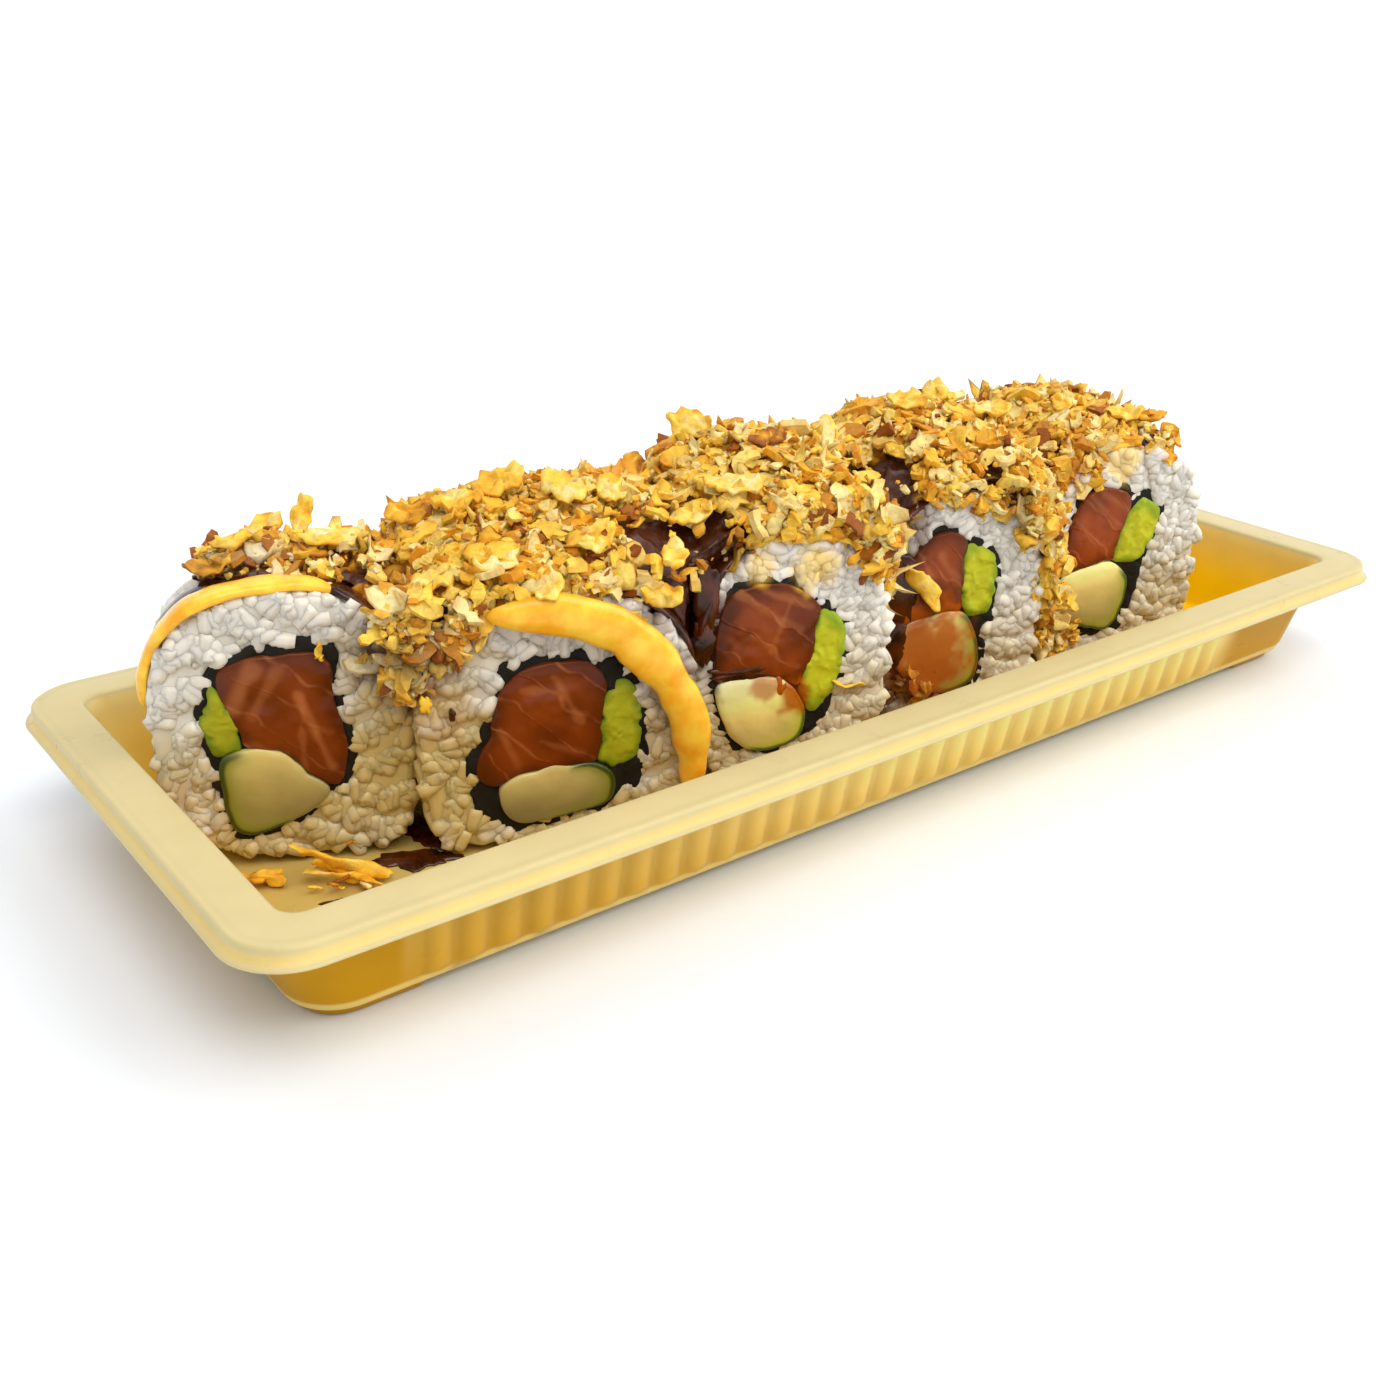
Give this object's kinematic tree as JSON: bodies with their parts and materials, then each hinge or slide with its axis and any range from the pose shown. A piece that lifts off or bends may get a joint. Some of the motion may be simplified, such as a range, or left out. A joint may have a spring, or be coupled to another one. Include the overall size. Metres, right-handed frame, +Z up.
{
  "type": "takeaway sushi tray",
  "caption": "Open takeaway tray of cut sushi rolls with salmon, avocado and cucumber, under spicy mayonnaise, dark glaze and a heap of crispy fried onion.",
  "frame": {"origin": "middle of the tray in plan, on the plane that its four feet stand on", "axes": "+X along the tray's long side, towards the end with the free well; +Y away from the side that the rolls' cut faces look to; +Z up"},
  "size_m": [0.222, 0.0876, 0.0559],
  "materials": {
    "tray_plastic": "opaque beige-gold moulded sheet, glossy inside and satin on the rim",
    "rice": "moist cooked short-grain rice, off-white, slightly see-through grains",
    "nori": "damp black-green seaweed sheet",
    "salmon": "raw orange-red fish with pale marbling, wet",
    "avocado": "yellow-green flesh, soft sheen",
    "cucumber": "pale wet flesh with a dark green skin on one side",
    "mayonnaise": "thick glossy orange-yellow sauce",
    "fried_onion": "dry crisp flakes, pale cream to amber"
  },
  "bodies": {
    "root": {"tray": "tray_plastic", "rice_1": "rice", "rice_2": "rice", "rice_3": "rice", "rice_4": "rice", "rice_5": "rice", "nori_1": "nori", "nori_2": "nori", "nori_3": "nori", "nori_4": "nori", "nori_5": "nori", "salmon_1": "salmon", "salmon_2": "salmon", "salmon_3": "salmon", "salmon_4": "salmon", "salmon_5": "salmon", "avocado_1": "avocado", "avocado_2": "avocado", "avocado_3": "avocado", "avocado_4": "avocado", "avocado_5": "avocado", "cucumber_1": "cucumber", "cucumber_2": "cucumber", "cucumber_3": "cucumber", "cucumber_4": "cucumber", "cucumber_5": "cucumber", "mayonnaise_1": "mayonnaise", "mayonnaise_2": "mayonnaise", "crispy_onion": "fried_onion", "fallen_onion_1": "fried_onion", "fallen_onion_2": "fried_onion", "fallen_onion_3": "fried_onion", "fallen_onion_4": "fried_onion"}
  },
  "joints": []
}
